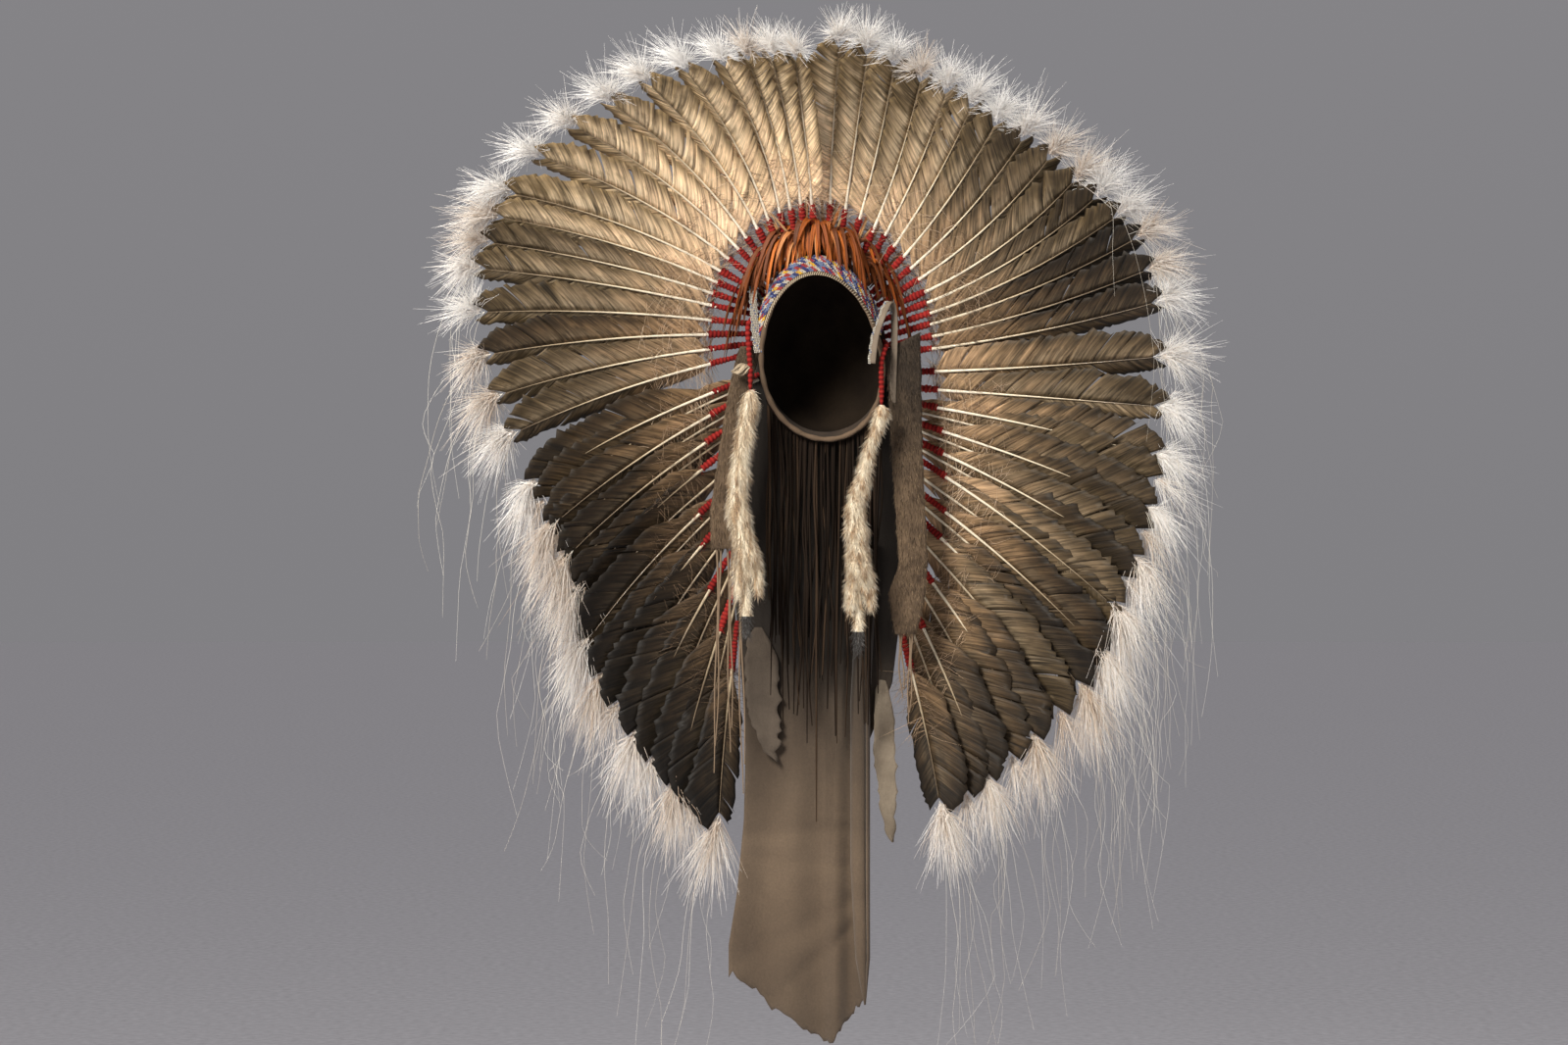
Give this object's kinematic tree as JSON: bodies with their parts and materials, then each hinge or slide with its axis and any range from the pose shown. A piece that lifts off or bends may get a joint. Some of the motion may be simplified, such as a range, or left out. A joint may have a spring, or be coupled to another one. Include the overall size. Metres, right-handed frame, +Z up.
{
  "type": "feathered headdress",
  "caption": "Headdress with a hide cap, a fan of long plumed feathers round it and down both edges of a hanging hide trail, with a beaded brow band, fur flaps and ermine drops.",
  "frame": {"origin": "centre of the head opening, in the plane of its rim", "axes": "+Z up, -Y the way the wearer faces, +X to the right of someone who looks at the face"},
  "size_m": [0.9183, 0.4069, 1.2439],
  "materials": {
    "hide": "matte brown suede",
    "suede": "matte grey-tan suede",
    "beads": "opaque glass seed beads",
    "hackle": "glossy slender feathers",
    "feather": "feather vanes, silky",
    "thong": "dark waxed thongs",
    "fur": "hide with short hair",
    "wool": "wound wool yarn",
    "ermine": "short dense fur",
    "cream": "pale rawhide"
  },
  "bodies": {
    "root": {"cap": "hide", "brow_band": "beads", "brow_plume": "hackle", "trail_panel": "suede", "trail_roll": "suede", "trail_strip_left": "cream", "trail_strip_right": "cream", "thong_fringe": "thong", "feather_left_01": "feather", "feather_left_02": "feather", "feather_left_03": "feather", "feather_left_04": "feather", "feather_left_05": "feather", "feather_left_06": "feather", "feather_left_07": "feather", "feather_left_08": "feather", "feather_left_09": "feather", "feather_left_10": "feather", "feather_left_11": "feather", "feather_left_12": "feather", "feather_left_13": "feather", "feather_left_14": "feather", "feather_left_15": "feather", "feather_left_16": "feather", "feather_left_17": "feather", "feather_left_18": "feather", "feather_pair_left_01": "feather", "feather_pair_left_02": "feather", "feather_pair_left_03": "feather", "feather_pair_left_04": "feather", "flap_left": "fur", "beaded_loop_left": "beads", "wrapped_tie_left": "wool", "ermine_left": "ermine", "feather_right_01": "feather", "feather_right_02": "feather", "feather_right_03": "feather", "feather_right_04": "feather", "feather_right_05": "feather", "feather_right_06": "feather", "feather_right_07": "feather", "feather_right_08": "feather", "feather_right_09": "feather", "feather_right_10": "feather", "feather_right_11": "feather", "feather_right_12": "feather", "feather_right_13": "feather", "feather_right_14": "feather", "feather_right_15": "feather", "feather_right_16": "feather", "feather_right_17": "feather", "feather_right_18": "feather", "feather_pair_right_01": "feather", "feather_pair_right_02": "feather", "feather_pair_right_03": "feather", "feather_pair_right_04": "feather", "flap_right": "fur", "beaded_loop_right": "beads", "wrapped_tie_right": "wool", "ermine_right": "ermine"}
  },
  "joints": []
}
